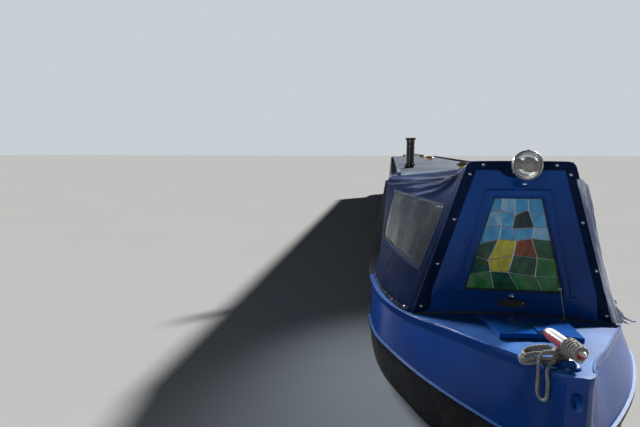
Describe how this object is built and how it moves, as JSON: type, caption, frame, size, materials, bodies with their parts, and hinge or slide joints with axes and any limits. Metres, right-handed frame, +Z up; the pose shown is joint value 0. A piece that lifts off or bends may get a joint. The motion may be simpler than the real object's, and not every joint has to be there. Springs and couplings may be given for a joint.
{
  "type": "narrowboat",
  "caption": "Steel canal narrowboat with a flat bottom, long cabin, canvas-covered fore end with lamp, opening doors and hatch, and a rudder with swan-neck tiller.",
  "frame": {"origin": "under the middle of the boat, on the underside of its flat bottom", "axes": "+X to the bow, +Y to port, +Z up"},
  "size_m": [17.2, 2.08, 2.4907],
  "materials": {
    "hull_black": "black hull paint, satin",
    "hull_blue": "royal blue gloss, hand painted",
    "cabin_blue": "royal blue gloss coach paint",
    "roof_paint": "matt grey-blue deck paint",
    "deck_grey": "grey deck paint with grit",
    "engine_grey": "painted casting",
    "floor_wood": "oiled boards",
    "window_glass": "clear window glass",
    "clear_vinyl": "clear flexible sheet, slightly clouded",
    "canvas_navy": "coated canvas, navy",
    "rope_fibre": "laid fibre rope",
    "chrome": "polished plating",
    "brass": "polished, a little dulled",
    "bronze": "cast, water stained",
    "stud_paint": "white and red gloss paint"
  },
  "bodies": {
    "hull": {"baseplate": "hull_black", "bow": "hull_blue", "side_starboard": "hull_black", "side_port": "hull_black", "swim": "hull_black", "uxter_plate": "hull_black", "counter": "hull_black", "skeg": "hull_black", "stern_tube": "bronze", "engine_block": "engine_grey", "well_floor": "deck_grey", "cabin_floor": "floor_wood", "front_bulkhead": "cabin_blue", "rear_bulkhead": "cabin_blue", "cabin_side_starboard": "cabin_blue", "cabin_side_port": "cabin_blue", "roof": "roof_paint", "window_starboard_1": "window_glass", "window_starboard_2": "window_glass", "window_starboard_3": "window_glass", "window_starboard_4": "window_glass", "window_port_1": "window_glass", "window_port_2": "window_glass", "window_port_3": "window_glass", "window_port_4": "window_glass", "cratch_board": "hull_blue", "cratch_glass": "window_glass", "cratch_plank": "floor_wood", "cratch_cover": "canvas_navy", "cover_window_starboard": "clear_vinyl", "cover_window_port": "clear_vinyl", "lamp_bracket": "chrome", "lamp_shell": "chrome", "lamp_lens": "window_glass", "stem_eye": "hull_blue", "t_stud": "stud_paint", "bow_rope": "rope_fibre", "bow_rope_bight": "rope_fibre", "chimney": "hull_black", "roof_vent_1": "brass", "roof_vent_2": "brass", "roof_vent_3": "brass", "stern_fender": "rope_fibre"},
    "steering": {"rudder": "hull_black", "tiller_neck": "stud_paint", "tiller_bar": "brass"},
    "screw": {"propeller": "bronze"},
    "fore_door_starboard": {"front_door_starboard": "cabin_blue"},
    "fore_door_port": {"front_door_port": "cabin_blue"},
    "aft_door_starboard": {"rear_door_starboard": "cabin_blue"},
    "aft_door_port": {"rear_door_port": "cabin_blue"},
    "hatch": {"slide_hatch": "cabin_blue"},
    "lid": {"locker_lid": "hull_blue"}
  },
  "joints": [
    {"name": "rudder_turn", "type": "hinge", "parent": "hull", "child": "steering", "pos_m": [-8.05, 0, 0.8], "axis": [0, 0, 1], "range_deg": [-45, 45]},
    {"name": "propeller_spin", "type": "hinge", "parent": "hull", "child": "screw", "pos_m": [-7.775, 0, 0.3], "axis": [1, 0, 0], "continuous": true},
    {"name": "fore_door_starboard_swing", "type": "hinge", "parent": "hull", "child": "fore_door_starboard", "pos_m": [5.9184, -0.331, 1.3], "axis": [0, 0, -1], "range_deg": [0, 100]},
    {"name": "fore_door_port_swing", "type": "hinge", "parent": "hull", "child": "fore_door_port", "pos_m": [5.9184, 0.331, 1.3], "axis": [0, 0, 1], "range_deg": [0, 100]},
    {"name": "aft_door_starboard_swing", "type": "hinge", "parent": "hull", "child": "aft_door_starboard", "pos_m": [-7.0584, -0.306, 1.6], "axis": [0, 0, 1], "range_deg": [0, 100]},
    {"name": "aft_door_port_swing", "type": "hinge", "parent": "hull", "child": "aft_door_port", "pos_m": [-7.0584, 0.306, 1.6], "axis": [0, 0, -1], "range_deg": [0, 100]},
    {"name": "hatch_slide", "type": "slide", "parent": "hull", "child": "hatch", "axis": [1, 0, 0], "range_m": [0, 0.6]},
    {"name": "lid_lift", "type": "hinge", "parent": "hull", "child": "lid", "pos_m": [7.6416, 0, 1.2443], "axis": [0, -1, 0], "range_deg": [0, 95]}
  ]
}
